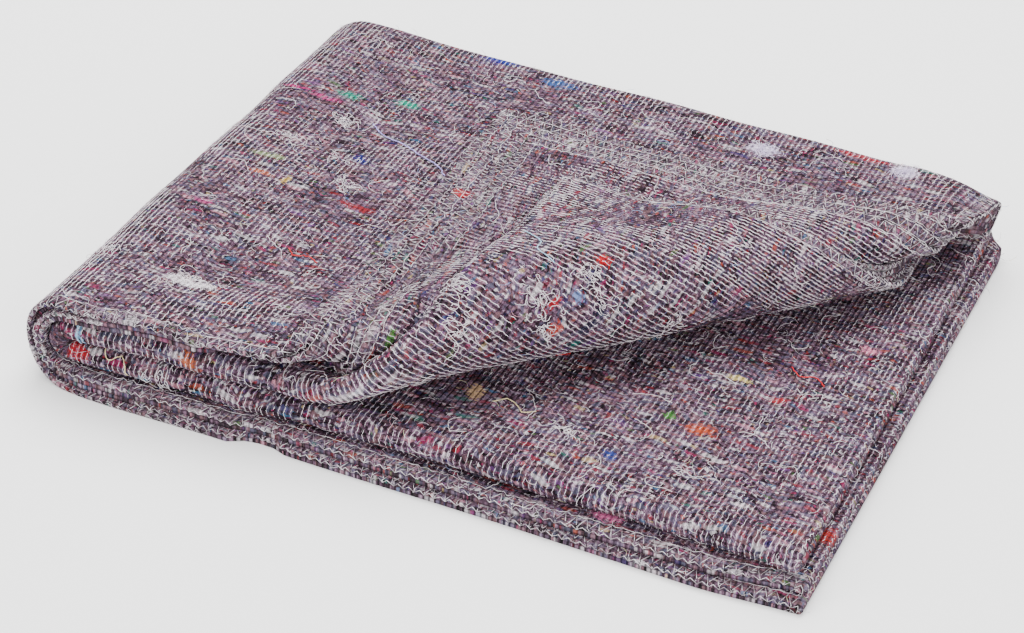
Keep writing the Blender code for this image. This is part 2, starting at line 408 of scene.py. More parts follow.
def placed(u, v, lift):
    """Points lifted off the folded sheet's middle, to its inner face or, if negative, its outer.

    Gives the normals there as well.
    """
    step = 0.0004
    middle = folded(u, v)
    along_u = folded(u + step, v) - folded(u - step, v)
    along_v = folded(u, v + step) - folded(u, v - step)
    normal = np.cross(along_u, along_v)
    normal /= np.maximum(np.linalg.norm(normal, axis=1), 1e-12)[:, None]
    return middle + normal * np.asarray(lift)[..., None], normal


GRID_STEP = 0.0092


def lines_of_grid(total, spacing, folds):
    """Grid lines across the sheet: even ones, and closer ones where a fold bends it."""
    lines = []
    marks = sorted(folds)
    at = 0.0
    for start, end, steps in marks + [(total, total, 0)]:
        count = max(1, round((start - at) / spacing))
        lines += list(np.linspace(at, start, count, endpoint=False))
        if steps:
            lines += list(np.linspace(start, end, steps, endpoint=False))
        at = end
    return np.array(lines + [total])


def fold_bands():
    """Where the sheet bends: (start, end, steps) across and along it."""
    side_turn, left_turn = turn_length("side"), turn_length("left")
    front_turn, back_turn = turn_length("front"), turn_length("back")
    side_at = side_line() - sheet_start()
    left_at = LEFT_TURN - sheet_start()
    mirrored = 2 * side_at + side_turn - left_at
    front_at = front_line() - FRONT_SIDE
    back_at = back_line() - FRONT_SIDE
    far_back = 2 * front_at + front_turn - back_at
    bands_across = [
        (left_at - left_turn, left_at, 14),
        (side_at, side_at + side_turn, 5),
        (mirrored, mirrored + left_turn, 14),
    ]
    bands_along = [
        (back_at, back_at + back_turn, 8),
        (front_at, front_at + front_turn, 7),
        (far_back - back_turn, far_back, 8),
    ]
    return bands_across, bands_along


def sheet_grid():
    bands_across, bands_along = fold_bands()
    across = lines_of_grid(FLAT_WIDTH, GRID_STEP, bands_across)
    along = lines_of_grid(FLAT_LENGTH, GRID_STEP, bands_along)
    return across, along


def link(obj):
    bpy.context.scene.collection.objects.link(obj)
    return obj


def plain_mesh(obj, name):
    """The object's evaluated mesh as a plain mesh in its place, with no modifier left."""
    graph = bpy.context.evaluated_depsgraph_get()
    data = bpy.data.meshes.new_from_object(obj.evaluated_get(graph), depsgraph=graph)
    data.name = name
    obj.modifiers.clear()
    old = obj.data
    obj.data = data
    if old.users == 0:
        bpy.data.meshes.remove(old)
    return obj


def cloth_object():
    """The folded sheet with its thickness, its places on the flat sheet kept as a UV map."""
    across, along = sheet_grid()
    u, v = np.meshgrid(across, along)
    columns = len(across)
    points = folded(u.ravel(), v.ravel())
    cell = (np.arange(len(along) - 1)[:, None] * columns + np.arange(columns - 1)[None, :]).ravel()
    faces = np.stack([cell, cell + 1, cell + columns + 1, cell + columns], axis=1)
    data = bpy.data.meshes.new("felt_sheet")
    data.from_pydata(points.tolist(), [], faces.tolist())
    flat = data.uv_layers.new(name="cloth")
    corners = np.empty(len(data.loops), np.int32)
    data.loops.foreach_get("vertex_index", corners)
    flat_uv = np.stack([u.ravel()[corners], v.ravel()[corners]], axis=1)
    flat.data.foreach_set("uv", flat_uv.ravel())
    data.polygons.foreach_set("use_smooth", np.ones(len(data.polygons), bool))
    sheet = link(bpy.data.objects.new("felt_sheet", data))
    thicken = sheet.modifiers.new("sheet thickness", "SOLIDIFY")
    thicken.thickness = SHEET
    thicken.offset = 0.0
    return plain_mesh(sheet, "felt_sheet")


def tree_of(obj):
    data = obj.data
    data.calc_loop_triangles()
    corners = np.empty(len(data.loop_triangles) * 3, np.int32)
    data.loop_triangles.foreach_get("vertices", corners)
    places = [v.co.copy() for v in data.vertices]
    return BVHTree.FromPolygons(places, corners.reshape(-1, 3).tolist())


FACES = {"outer": -1.0, "inner": 1.0}    # which way each face lies off the sheet's middle
EDGE_INSET = 0.001


def inside(u, v):
    """The places, flattened and drawn in from the sheet's very edges."""
    inside_u = np.clip(u.ravel(), EDGE_INSET, FLAT_WIDTH - EDGE_INSET)
    return inside_u, np.clip(v.ravel(), EDGE_INSET, FLAT_LENGTH - EDGE_INSET)


LOOKS = 10              # half the directions tried to see whether a place shows from outside
RAY_LIFT = 0.0012       # how far off the felt a look starts
LEAST_FACING = 0.12     # looks more level with the felt than this aren't tried
LOWEST_LOOK = -0.05     # nor are looks from below


def look_directions():
    golden = math.pi * (3.0 - math.sqrt(5.0))
    rows = []
    for i in range(LOOKS * 2):
        z = 1.0 - (i + 0.5) / LOOKS
        r = math.sqrt(max(0.0, 1.0 - z * z))
        rows.append((r * math.cos(golden * i), r * math.sin(golden * i), z))
    return np.array(rows)


def showing(tree, positions, normals):
    """From how many of the directions in front of each place it is seen."""
    directions = look_directions()
    away = positions + normals * RAY_LIFT
    seen = np.zeros(len(positions))
    for i in range(len(positions)):
        start = Vector(away[i])
        facing = directions @ normals[i]
        count = 0
        for direction in directions[facing > LEAST_FACING]:
            if direction[2] < LOWEST_LOOK:
                continue
            if tree.ray_cast(start, Vector(direction))[0] is None:
                count += 1
        seen[i] = count
    return seen


def fill(tree, socket, value):
    """Links a socket to another one or to a sum, or sets its value."""
    value = getattr(value, "socket", value)
    if isinstance(value, bpy.types.NodeSocket):
        tree.links.new(value, socket)
    else:
        socket.default_value = value


def put(tree, kind, settings, sockets):
    """A node in a tree, with its settings made and its sockets filled."""
    node = tree.nodes.new(kind)
    for name, value in settings.items():
        setattr(node, name, value)
    for name, value in sockets.items():
        fill(tree, node.inputs[name], value)
    return node


class Sum:
    """A value or colour inside a material, which adds the nodes that a sum on it needs."""

    def __init__(self, paint, socket):
        self.paint = paint
        self.socket = socket

    def maths(self, operation, *others):
        sockets = dict(enumerate((self, *others)))
        return self.paint.add("ShaderNodeMath", {"operation": operation}, sockets)

    def reflected(self, operation, first):
        return self.paint.add("ShaderNodeMath", {"operation": operation}, {0: first, 1: self})

    def __add__(self, other):
        return self.maths("ADD", other)

    def __radd__(self, other):
        return self.reflected("ADD", other)

    def __sub__(self, other):
        return self.maths("SUBTRACT", other)

    def __rsub__(self, other):
        return self.reflected("SUBTRACT", other)

    def __mul__(self, other):
        return self.maths("MULTIPLY", other)

    def __truediv__(self, other):
        return self.maths("DIVIDE", other)

    def eased(self, low, high, before, after):
        """One value up to a low limit, another from a high one, and a soft step between them."""
        settings = {"interpolation_type": "SMOOTHSTEP", "clamp": True}
        sockets = {0: self, 1: low, 2: high, 3: before, 4: after}
        return self.paint.add("ShaderNodeMapRange", settings, sockets)

    def above(self, limit, softness):
        """0 below the limit and 1 past it, over this softness."""
        low = limit - softness / 2
        return self.eased(low, low + softness, 0.0, 1.0)

    def absolute(self):
        return self.maths("ABSOLUTE")

    def smaller(self, other):
        return self.maths("MINIMUM", other)

    def cosine(self):
        return self.maths("COSINE")

    def beside(self, output):
        """Another output of the same node."""
        return Sum(self.paint, self.socket.node.outputs[output])


class Paint:
    """A material being made: its node tree, and one way to add nodes to it."""

    def __init__(self, name):
        self.material = bpy.data.materials.new(name)
        self.material.use_nodes = True
        self.tree = self.material.node_tree
        self.shader = self.tree.nodes["Principled BSDF"]

    def add(self, kind, settings, sockets, output=0):
        """A node with its settings made first and its sockets filled; gives one of its outputs."""
        return Sum(self, put(self.tree, kind, settings, sockets).outputs[output])

    def ramp(self, share, stops, steps="LINEAR"):
        """The colour that a share picks from these stops."""
        picked = self.add("ShaderNodeValToRGB", {}, {0: share})
        ramp = picked.socket.node.color_ramp
        ramp.interpolation = steps
        while len(ramp.elements) > 1:
            ramp.elements.remove(ramp.elements[-1])
        ramp.elements[0].position = stops[0][0]
        ramp.elements[0].color = (*stops[0][1], 1.0)
        for place, colour in stops[1:]:
            ramp.elements.new(place).color = (*colour, 1.0)
        return picked

    def object_place(self):
        return self.add("ShaderNodeTexCoord", {}, {}, "Object")

    def paired(self, x, y):
        return self.add("ShaderNodeCombineXYZ", {}, {0: x, 1: y})

    def mixed(self, share, first, second):
        settings = {"data_type": "RGBA", "blend_type": "MIX", "clamp_factor": True}
        return self.add("ShaderNodeMix", settings, {0: share, 6: first, 7: second}, 2)

    def tinted(self, colour, factor):
        settings = {"data_type": "RGBA", "blend_type": "MULTIPLY", "clamp_factor": True}
        grey = self.add("ShaderNodeCombineColor", {}, {0: factor, 1: factor, 2: factor})
        return self.add("ShaderNodeMix", settings, {0: 1.0, 6: colour, 7: grey}, 2)

    def grain(self, vector, scale, detail=2.0, roughness=0.55, dimensions="2D"):
        sockets = {"Vector": vector, "Scale": scale, "Detail": detail, "Roughness": roughness}
        return self.add("ShaderNodeTexNoise", {"noise_dimensions": dimensions}, sockets)

    def finish(self, **inputs):
        for name, value in inputs.items():
            fill(self.tree, self.shader.inputs[name.replace("_", " ")], value)
        return self.material


# The felt's own tones, from its darkest fibres to its palest.
FELT_TONES = (
    (0.00, (0.0040, 0.0019, 0.0034)),
    (0.16, (0.0125, 0.0060, 0.0106)),
    (0.34, (0.034, 0.0160, 0.0275)),
    (0.52, (0.070, 0.0355, 0.0595)),
    (0.70, (0.126, 0.0690, 0.1100)),
    (0.86, (0.200, 0.1230, 0.1810)),
    (1.00, (0.360, 0.2580, 0.3380)),
)

# The dyed fibres in the felt, as shares of the ramp that picks one for each fleck.
FLECK_COLOURS = (
    (0.00, (0.288, 0.006, 0.009)),
    (0.14, (0.346, 0.011, 0.094)),
    (0.26, (0.418, 0.058, 0.014)),
    (0.34, (0.004, 0.003, 0.005)),
    (0.51, (0.007, 0.014, 0.122)),
    (0.60, (0.036, 0.173, 0.331)),
    (0.65, (0.001, 0.173, 0.122)),
    (0.68, (0.065, 0.173, 0.036)),
    (0.72, (0.60, 0.44, 0.20)),
    (0.75, (0.66, 0.28, 0.36)),
    (0.84, (0.173, 0.058, 0.245)),
    (0.90, (0.84, 0.77, 0.82)),
)

# Larger clots of one dye in the felt: where on the flat sheet, their half length across the
# rows and half width along them, in metres, and the dye.
CLOTS = (
    (0.414, 0.289, 0.0085, 0.0042, (0.000, 0.252, 0.168)),
    (0.375, 0.298, 0.0090, 0.0036, (0.000, 0.280, 0.182)),
    (0.450, 0.281, 0.0120, 0.0020, (0.364, 0.014, 0.126)),
    (0.426, 0.277, 0.0110, 0.0024, (0.392, 0.028, 0.154)),
    (0.346, 0.377, 0.0110, 0.0040, (0.007, 0.021, 0.252)),
    (1.901, 0.005, 0.0035, 0.0075, (0.406, 0.007, 0.010)),
    (0.395, 0.053, 0.0150, 0.0050, (0.84, 0.78, 0.83)),
    (0.145, 0.356, 0.0100, 0.0065, (0.70, 0.60, 0.80)),
    (0.054, 0.370, 0.0085, 0.0055, (0.72, 0.62, 0.82)),
    (0.083, 0.375, 0.0190, 0.0022, (0.350, 0.021, 0.035)),
    (0.773, 0.703, 0.0060, 0.0055, (0.56, 0.36, 0.20)),
    (0.880, 1.484, 0.0090, 0.0060, (0.74, 0.16, 0.36)),
    (0.993, 1.448, 0.0065, 0.0085, (0.434, 0.021, 0.008)),
    (0.902, 0.678, 0.0085, 0.0055, (0.420, 0.063, 0.021)),
    (0.881, 0.674, 0.0030, 0.0030, (0.049, 0.182, 0.028)),
    (0.543, 0.748, 0.0085, 0.0045, (0.330, 0.008, 0.014)),
    (0.563, 0.755, 0.0075, 0.0038, (0.014, 0.130, 0.240)),
    (0.590, 0.754, 0.0048, 0.0045, (0.014, 0.190, 0.310)),
    (0.440, 0.753, 0.0015, 0.0055, (0.22, 0.44, 0.66)),
    (0.369, 0.753, 0.0048, 0.0032, (0.360, 0.084, 0.030)),
    (0.422, 0.196, 0.0110, 0.0030, (0.26, 0.32, 0.16)),
    (0.418, 0.177, 0.0080, 0.0022, (0.462, 0.112, 0.056)),
    (0.400, 0.178, 0.0030, 0.0045, (0.490, 0.322, 0.070)),
    (0.348, 0.174, 0.0130, 0.0026, (0.240, 0.014, 0.021)),
    (0.371, 0.224, 0.0060, 0.0036, (0.014, 0.021, 0.154)),
    (0.149, 0.702, 0.0065, 0.0022, (0.330, 0.009, 0.015)),
    (0.160, 0.694, 0.0050, 0.0030, (0.406, 0.049, 0.035)),
    (0.109, 0.692, 0.0048, 0.0040, (0.400, 0.009, 0.012)),
    (0.137, 0.694, 0.0034, 0.0028, (0.14, 0.20, 0.40)),
    (0.142, 0.682, 0.0120, 0.0036, (0.008, 0.011, 0.032)),
    (0.162, 0.677, 0.0038, 0.0030, (0.000, 0.140, 0.119)),
    (0.246, 1.484, 0.0060, 0.0030, (0.063, 0.210, 0.035)),
    (0.431, 0.131, 0.0060, 0.0030, (0.420, 0.042, 0.182)),
    (0.297, 0.368, 0.0120, 0.0028, (0.035, 0.098, 0.280)),
    (0.935, 0.633, 0.0060, 0.0034, (0.350, 0.014, 0.021)),
    (0.866, 0.719, 0.0045, 0.0030, (0.021, 0.042, 0.210)),
    (0.906, 0.626, 0.0070, 0.0022, (0.66, 0.52, 0.18)),
    (0.970, 0.563, 0.0060, 0.0040, (0.70, 0.22, 0.34)),
)

# Tufts of loose curled fibre: where on the flat sheet, how far they spread across the rows and
# along them, in metres, and how full they are.
PALE_TUFTS = (
    (0.395, 0.053, 0.012, 0.005, 19),
    (0.402, 0.260, 0.009, 0.005, 9),
    (0.365, 0.190, 0.009, 0.005, 9),
    (0.427, 0.221, 0.012, 0.003, 6),
    (0.381, 0.218, 0.012, 0.003, 4),
    (0.176, 0.744, 0.012, 0.006, 9),
    (0.191, 0.730, 0.010, 0.006, 6),
    (0.152, 0.710, 0.008, 0.010, 10),
    (0.164, 0.698, 0.006, 0.008, 5),
    (0.122, 0.695, 0.007, 0.005, 6),
    (0.129, 0.683, 0.007, 0.005, 4),
    (0.120, 0.636, 0.010, 0.004, 5),
    (0.832, 0.712, 0.016, 0.005, 6),
    (0.911, 0.711, 0.018, 0.005, 6),
    (0.958, 0.621, 0.012, 0.005, 4),
    (0.600, 0.750, 0.010, 0.006, 5),
    (0.456, 0.063, 0.014, 0.004, 6),
)
LILAC_TUFTS = (
    (0.145, 0.356, 0.009, 0.005, 22),
    (0.054, 0.370, 0.008, 0.004, 16),
)

# Single coloured threads lying on the felt: for each colour the radius, the dye, and for each
# thread the places (u, v) on the flat sheet that it goes through.
LAID_THREADS = {
    "lavender": (0.00042, (0.40, 0.33, 0.74), (
        ((0.385, 0.267), (0.372, 0.257), (0.355, 0.251),
         (0.338, 0.242), (0.322, 0.236), (0.314, 0.229)),
    )),
    "pale_blue": (0.00032, (0.36, 0.60, 0.80), (
        ((0.100, 0.738), (0.107, 0.729), (0.113, 0.724), (0.122, 0.722), (0.127, 0.712)),
        ((0.439, 0.760), (0.441, 0.754), (0.4395, 0.748), (0.442, 0.742)),
    )),
    "cream": (0.00030, (0.80, 0.66, 0.36), (
        ((0.786, 0.706), (0.792, 0.701), (0.799, 0.703), (0.806, 0.707), (0.812, 0.703)),
        ((0.560, 0.742), (0.566, 0.747), (0.574, 0.745), (0.580, 0.751)),
    )),
    "bright_red": (0.00034, (0.62, 0.010, 0.014), (
        ((0.930, 0.600), (0.938, 0.606), (0.948, 0.603), (0.956, 0.609)),
        ((0.172, 0.668), (0.179, 0.663), (0.186, 0.664), (0.192, 0.658)),
        ((0.340, 0.110), (0.349, 0.114), (0.357, 0.111), (0.363, 0.116)),
    )),
}


def cells_of(paint, u, v, size_u, size_v, drift):
    """Ragged cells over the felt: three random values of each, and how far off its middle."""
    place = paint.paired(u / size_u + drift, v / size_v + drift * 1.7)
    settings = {"voronoi_dimensions": "2D"}
    distance = paint.add("ShaderNodeTexVoronoi", settings, {"Vector": place, "Scale": 1.0})
    first = paint.add("ShaderNodeSeparateColor", {}, {0: distance.beside("Color")})
    return first, first.beside(1), first.beside(2), distance


def flecks(paint, u, v, size_u, size_v, drift, amount, edge):
    """Flecks of dyed fibre, longer across the rows: a mask, and a random value for each fleck."""
    chance, pick, size, distance = cells_of(paint, u, v, size_u, size_v, drift)
    shape = 1.0 - distance.above(0.24 + size * 0.26, edge)
    return shape * chance.above(1.0 - amount, 0.02), pick


def felt_body(paint, u, v, fibres, fine):
    """The heather of the felt: cells of matted fibre, each of its own tone."""
    clouds = paint.grain(paint.paired(u * 30.0, v * 85.0), 1.0)
    large, _, _, _ = cells_of(paint, u, v, 0.0070, 0.0027, 5.3)
    middle, middle_pick, _, _ = cells_of(paint, u, v, 0.0034, 0.0015, 17.1)
    small, _, _, _ = cells_of(paint, u, v, 0.0017, 0.0009, 31.7)
    tone = large * 0.22 + middle * 0.32 + small * 0.28 + (fibres - 0.5) * 1.35 + (fine - 0.5) * 0.9
    tone = tone + (clouds - 0.5) * 0.90 + 0.06
    body = paint.ramp(tone, FELT_TONES)
    warm = paint.mixed(middle_pick.above(0.80, 0.10) * 0.32, body, (0.30, 0.155, 0.165, 1.0))
    cool = (1.0 - middle_pick.above(0.20, 0.10)) * 0.34
    return paint.mixed(cool, warm, (0.125, 0.135, 0.215, 1.0))


def felt_material():
    paint = Paint("recycled_felt")
    flat = paint.add("ShaderNodeUVMap", {"uv_map": "cloth"}, {})
    true_u = paint.add("ShaderNodeSeparateXYZ", {}, {0: flat})
    true_v = true_u.beside(1)
    drift = paint.grain(flat, 70.0, 1.0)
    wander = paint.grain(flat, 45.0, 1.0)
    ragged_u = paint.grain(flat, 520.0, 1.0)
    ragged_v = paint.grain(flat, 430.0, 1.0)
    u = true_u + (drift - 0.5) * 0.008 + (ragged_u - 0.5) * 0.0026
    v = true_v + (wander - 0.5) * 0.008 + (ragged_v - 0.5) * 0.0016
    fibres = paint.grain(paint.paired(u * 230.0, v * 900.0), 1.0, 3.0, 0.62)
    fine = paint.grain(paint.paired(u * 700.0, v * 1900.0), 1.0, 2.0, 0.6)
    colour = felt_body(paint, u, v, fibres, fine)
    for size_u, size_v, seed, amount, edge in (
        (0.0026, 0.0013, 3.7, 0.17, 0.12),
        (0.0056, 0.0022, 11.3, 0.15, 0.14),
        (0.0130, 0.0038, 23.9, 0.09, 0.20),
    ):
        mask, pick = flecks(paint, u, v, size_u, size_v, seed, amount, edge)
        dye = paint.ramp(pick, FLECK_COLOURS, "CONSTANT")
        share = mask * (0.10 + fine * 0.62)
        colour = paint.mixed(share, colour, dye)
    for size_u, size_v, seed, amount, share in (
        (0.0042, 0.0013, 41.0, 0.08, 0.45),
        (0.0150, 0.0034, 57.0, 0.06, 0.38),
    ):
        lint, _ = flecks(paint, u, v, size_u, size_v, seed, amount, 0.2)
        colour = paint.mixed(lint * share * (0.3 + fibres * 1.2), colour, (0.82, 0.77, 0.81, 1.0))
    place = paint.paired(u, v)
    frayed = (fibres - 0.5) * -5.5 - (fine - 0.5) * 3.0
    core = frayed + 0.50
    rim = frayed + 1.20
    dyed = colour
    for clot_u, clot_v, half_length, half_width, dye in CLOTS:
        stretch = (1.0 / half_length, 1.0 / half_width, 0.0)
        shift = (-clot_u / half_length, -clot_v / half_width, 0.0)
        sockets = {0: place, 1: stretch, 2: shift}
        out = paint.add("ShaderNodeVectorMath", {"operation": "MULTIPLY_ADD"}, sockets)
        far = paint.add("ShaderNodeVectorMath", {"operation": "DOT_PRODUCT"}, {0: out, 1: out}, 1)
        dyed = paint.mixed(far.eased(core, rim, 1.0, 0.0), dyed, (*dye, 1.0))
    colour = paint.mixed(0.52 + fine * 0.7, colour, dyed)

    from_side = 0.5 * FLAT_WIDTH - (true_u - 0.5 * FLAT_WIDTH).absolute()
    from_end = 0.5 * FLAT_LENGTH - (true_v - 0.5 * FLAT_LENGTH).absolute()
    hem = 1.0 - from_side.smaller(from_end).above(OVERLOCK_REACH * 0.95, 0.0022)
    colour = paint.mixed(hem * fibres * 0.05, colour, (0.66, 0.56, 0.62, 1.0))

    # The row valleys and the stitch nicks: relief for the bump below, and painted shade in the
    # felt's colour.
    across_row = (true_u * (2.0 * math.pi / ROW_PITCH)).cosine()
    shaded_row_valley = across_row.above(0.55, 0.80)
    pillow = 1.0 - across_row * across_row * across_row.above(0.0, 0.2)
    along_stitch = (true_v * (2.0 * math.pi / STITCH)).cosine()
    nick_dent_and_shade = along_stitch.above(0.6, 0.6) * shaded_row_valley
    fuzz = paint.grain(paint.object_place(), 900.0, 1.0, 0.6, "3D")
    # Painted shade: the felt is darkened along the row valleys beside the threads, and more at each
    # stitch's nick. The fuzz grain only varies the tone at random.
    colour = paint.tinted(colour, (1.0 - shaded_row_valley * 0.30 - nick_dent_and_shade * 0.34) * (0.72 + fuzz * 0.56))
    matted = paint.grain(paint.paired(true_u * 330.0, true_v * 1100.0), 1.0, 2.0, 0.66)
    height = pillow * 1.1 + matted * 1.5 - nick_dent_and_shade * 0.6
    sockets = {"Strength": 0.85, "Distance": 0.0013, "Height": height}
    bump = paint.add("ShaderNodeBump", {}, sockets)
    return paint.finish(
        Base_Color=colour, Roughness=0.88 + fine * 0.12, Normal=bump, Specular_IOR_Level=0.12)


def yarn_material(name, light, dark, share):
    """Sewing yarn of one dye, a little uneven along its length."""
    paint = Paint(name)
    grain = paint.grain(paint.object_place(), 260.0, 2.0, 0.5, "3D")
    colour = paint.mixed(grain.above(share, 0.25), (*light, 1.0), (*dark, 1.0))
    return paint.finish(
        Base_Color=colour, Roughness=0.55 + grain * 0.2, Specular_IOR_Level=0.3)


def fibre_material(name, stops):
    """Loose fibres, each taking its colour from where it lies."""
    paint = Paint(name)
    place = paint.object_place()
    cells = paint.add("ShaderNodeTexVoronoi", {}, {"Vector": place, "Scale": 110.0}, "Color")
    parts = paint.add("ShaderNodeSeparateColor", {}, {0: cells}, 0)
    colour = paint.ramp(parts, stops, "CONSTANT")
    grain = paint.grain(place, 400.0, 1.0, 0.5, "3D")
    return paint.finish(
        Base_Color=paint.tinted(colour, 0.8 + grain * 0.4), Roughness=0.6 + grain * 0.25)


def node_tree(name, inputs):
    """A new Geometry Nodes tree with a geometry input and output and these named inputs."""
    tree = bpy.data.node_groups.new(name, "GeometryNodeTree")
    tree.interface.new_socket("Geometry", in_out="INPUT", socket_type="NodeSocketGeometry")
    for label, kind in inputs:
        tree.interface.new_socket(label, in_out="INPUT", socket_type=kind)
    tree.interface.new_socket("Geometry", in_out="OUTPUT", socket_type="NodeSocketGeometry")
    return tree, tree.nodes.new("NodeGroupInput"), tree.nodes.new("NodeGroupOutput")


def finished_with(tree, geometry, material, end):
    """Ends a tree: its copies made real, its material set."""
    real = put(tree, "GeometryNodeRealizeInstances", {}, {0: geometry})
    round_ = put(tree, "GeometryNodeSetShadeSmooth", {}, {0: real.outputs[0]})
    dyed = put(tree, "GeometryNodeSetMaterial", {}, {0: round_.outputs[0], "Material": material})
    tree.links.new(dyed.outputs[0], end.inputs[0])


def yarn_tree():
    """Sweeps a round yarn along each line of the mesh it is put on."""
    inputs = (("Yarn radius", "NodeSocketFloat"), ("Sides", "NodeSocketInt"),
              ("Yarn", "NodeSocketMaterial"))
    tree, start, end = node_tree("swept yarn", inputs)
    path = put(tree, "GeometryNodeMeshToCurve", {}, {0: start.outputs["Geometry"]})
    ring = put(tree, "GeometryNodeCurvePrimitiveCircle", {}, {
        "Resolution": start.outputs["Sides"], "Radius": start.outputs["Yarn radius"]})
    swept = put(tree, "GeometryNodeCurveToMesh", {}, {
        "Curve": path.outputs[0], "Profile Curve": ring.outputs[0]})
    finished_with(tree, swept.outputs[0], start.outputs["Yarn"], end)
    return tree


def fuzz_tree():
    """Scatters curled fibres over the mesh it is put on, lying close to it."""
    inputs = (("Fibres per square metre", "NodeSocketFloat"), ("Fibre length", "NodeSocketFloat"),
              ("Fibre radius", "NodeSocketFloat"), ("Curl", "NodeSocketFloat"),
              ("Seed", "NodeSocketInt"), ("Fibre", "NodeSocketMaterial"))
    tree, start, end = node_tree("scattered fibres", inputs)
    spots = put(tree, "GeometryNodeDistributePointsOnFaces", {}, {
        0: start.outputs["Geometry"], "Density": start.outputs["Fibres per square metre"],
        "Seed": start.outputs["Seed"]})
    curl = put(tree, "ShaderNodeCombineXYZ", {}, {0: 0.5, 1: start.outputs["Curl"], 2: 0.10})
    arc = put(tree, "GeometryNodeCurveQuadraticBezier", {}, {
        "Resolution": 4, "Start": (0.0, 0.0, 0.02), "Middle": curl.outputs[0],
        "End": (1.0, 0.1, 0.01)})
    thin = put(tree, "ShaderNodeMath", {"operation": "DIVIDE"}, {
        0: start.outputs["Fibre radius"], 1: start.outputs["Fibre length"]})
    ring = put(tree, "GeometryNodeCurvePrimitiveCircle", {}, {
        "Resolution": 3, "Radius": thin.outputs[0]})
    fibre = put(tree, "GeometryNodeCurveToMesh", {}, {
        "Curve": arc.outputs[0], "Profile Curve": ring.outputs[0]})
    turn = put(tree, "FunctionNodeRandomValue", {"data_type": "FLOAT"}, {
        2: -math.pi, 3: math.pi, "Seed": start.outputs["Seed"]})
    spin = put(tree, "ShaderNodeCombineXYZ", {}, {2: turn.outputs[1]})
    spun = put(tree, "FunctionNodeEulerToRotation", {}, {0: spin.outputs[0]})
    pose = put(tree, "FunctionNodeRotateRotation", {"rotation_space": "LOCAL"}, {
        0: spots.outputs["Rotation"], 1: spun.outputs[0]})
    size = put(tree, "FunctionNodeRandomValue", {"data_type": "FLOAT"}, {
        2: 0.35, 3: 1.25, "Seed": start.outputs["Seed"]})
    length = put(tree, "ShaderNodeMath", {"operation": "MULTIPLY"}, {
        0: size.outputs[1], 1: start.outputs["Fibre length"]})
    laid = put(tree, "GeometryNodeInstanceOnPoints", {}, {
        "Points": spots.outputs["Points"], "Instance": fibre.outputs[0],
        "Rotation": pose.outputs[0], "Scale": length.outputs[0]})
    finished_with(tree, laid.outputs[0], start.outputs["Fibre"], end)
    return tree


FLOOR_EASE = 0.0006     # how near the floor a thread or fibre starts to lie along it
FLOOR_GAP = 0.00008     # how near it comes


def laid_on_floor(data):
    """Lays what would reach through the floor along it."""
    places = np.empty(len(data.vertices) * 3, np.float32)
    data.vertices.foreach_get("co", places)
    places = places.reshape(-1, 3)
    low = np.minimum(places[:, 2], FLOOR_EASE)
    room = FLOOR_EASE - FLOOR_GAP
    places[:, 2] += FLOOR_GAP + room * np.exp((low - FLOOR_EASE) / room) - low
    data.vertices.foreach_set("co", places.ravel())


def grown(name, data, tree, values):
    """The mesh with a Geometry Nodes tree run on it, as a plain mesh riding on the bundle."""
    piece = link(bpy.data.objects.new(name, data))
    modifier = piece.modifiers.new("made", "NODES")
    modifier.node_group = tree
    for item in tree.interface.items_tree:
        if item.item_type == "SOCKET" and item.in_out == "INPUT" and item.name in values:
            modifier[item.identifier] = values[item.name]
    plain_mesh(piece, name)
    laid_on_floor(piece.data)
    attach(piece, "root")
    return piece


def line_mesh(name, points, joined):
    """A mesh of lines through the points, each joined to the next one where `joined` is true."""
    first = np.flatnonzero(joined)
    edges = np.stack([first, first + 1], axis=1)
    data = bpy.data.meshes.new(name)
    data.from_pydata(points.tolist(), edges.tolist(), [])
    return data


def cloth_sides(across, along, tree):
    """How much of the outer and of the inner face shows from outside, at each grid point."""
    u, v = np.meshgrid(across, along)
    shown = {}
    for face, sign in FACES.items():
        lift = np.full(u.size, sign * SHEET / 2)
        positions, normals = placed(*inside(u, v), lift)
        shown[face] = showing(tree, positions, normals * sign).reshape(u.shape)
    return shown


def spread_out(shown):
    """The same grid with each place taking the most of its neighbours."""
    padded = np.pad(shown, 1)
    rows, columns = shown.shape
    parts = [padded[i:i + rows, j:j + columns] for i in range(3) for j in range(3)]
    return np.max(parts, axis=0)


def at_grid(view, u, v):
    """The view's value in the cell that each point lies in: the most of its four corners."""
    shown, across, along = view
    column = np.clip(np.searchsorted(across, u) - 1, 0, len(across) - 2)
    row = np.clip(np.searchsorted(along, v) - 1, 0, len(along) - 2)
    corners = [shown[row + i, column + j] for i in (0, 1) for j in (0, 1)]
    return np.max(corners, axis=0)


MOST_LINES = 30000      # edges of yarn in one piece, so that it stays under 200,000 triangles


def yarn_pieces(name, points, joined, radius, sides, yarn, tree):
    """The lines swept into yarn, in as many pieces as their number asks for."""
    made = []
    for start in range(0, len(points), MOST_LINES):
        chosen = slice(start, min(start + MOST_LINES + 1, len(points)))
        links = joined[chosen].copy()
        links[-1] = False
        data = line_mesh(name, points[chosen], links)
        values = {"Yarn radius": radius, "Sides": sides, "Yarn": yarn}
        made.append(grown(f"{name}_{len(made) + 1}", data, tree, values))
    return made


